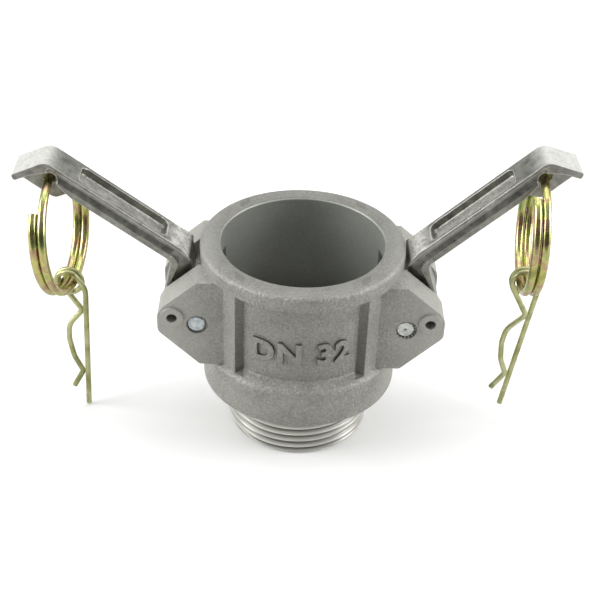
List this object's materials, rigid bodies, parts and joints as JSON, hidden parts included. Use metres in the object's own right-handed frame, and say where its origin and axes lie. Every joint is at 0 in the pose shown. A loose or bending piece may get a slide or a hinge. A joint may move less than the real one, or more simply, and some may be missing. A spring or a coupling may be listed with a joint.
{
  "type": "camlock coupling",
  "caption": "Female cam-and-groove coupler socket with hinged locking arms, pull rings and hairpin clips on a male threaded spigot.",
  "frame": {"origin": "centre of the male thread's end face, on the coupling's axis", "axes": "+Z along the coupling's axis towards the socket mouth, +X towards the right arm, Y along the pivot pins with -Y the front"},
  "size_m": [0.1515, 0.0578, 0.0908],
  "materials": {
    "cast_aluminium": "shot-blasted casting, thread and bore machined",
    "nitrile_rubber": "moulded, matte",
    "cast_steel": "satin investment casting",
    "zinc_steel": "bright zinc plated, fine turned ends",
    "yellow_zinc": "polished spring wire, yellow passivated zinc",
    "olive_zinc": "spring wire, dull yellow-green passivated zinc"
  },
  "bodies": {
    "coupler": {"coupler_body": "cast_aluminium", "gasket": "nitrile_rubber", "pivot_pin_left": "zinc_steel", "pivot_pin_right": "zinc_steel"},
    "arm_left": {"cam_arm_left": "cast_steel"},
    "ring_left": {"pull_ring_left": "yellow_zinc"},
    "clip_left": {"safety_clip_left": "olive_zinc"},
    "arm_right": {"cam_arm_right": "cast_steel"},
    "ring_right": {"pull_ring_right": "yellow_zinc"},
    "clip_right": {"safety_clip_right": "olive_zinc"}
  },
  "joints": [
    {"name": "arm_left_swing", "type": "hinge", "parent": "coupler", "child": "arm_left", "pos_m": [-0.0291, 0, 0.0437], "axis": [0, -1, 0], "range_deg": [-6, 122.5]},
    {"name": "ring_left_swing", "type": "hinge", "parent": "arm_left", "child": "ring_left", "pos_m": [-0.0684, 0, 0.08062], "axis": [0, -1, 0], "range_deg": [-122.5, 6]},
    {"name": "clip_left_swing", "type": "hinge", "parent": "ring_left", "child": "clip_left", "pos_m": [-0.06658, 0, 0.04587], "axis": [-0.1217, -0.9925, -0.0064], "range_deg": [-35, 35]},
    {"name": "arm_right_swing", "type": "hinge", "parent": "coupler", "child": "arm_right", "pos_m": [0.0291, 0, 0.0437], "axis": [0, 1, 0], "range_deg": [0, 129]},
    {"name": "ring_right_swing", "type": "hinge", "parent": "arm_right", "child": "ring_right", "pos_m": [0.06389, 0, 0.08482], "axis": [0, 1, 0], "range_deg": [-129, 0]},
    {"name": "clip_right_swing", "type": "hinge", "parent": "ring_right", "child": "clip_right", "pos_m": [0.06389, 0, 0.05002], "axis": [0.0332, 0.9995, 0], "range_deg": [-35, 35]}
  ],
  "couplings": [
    {"joint": "ring_left_swing", "follows": "arm_left_swing", "ratio": -1},
    {"joint": "ring_right_swing", "follows": "arm_right_swing", "ratio": -1}
  ]
}
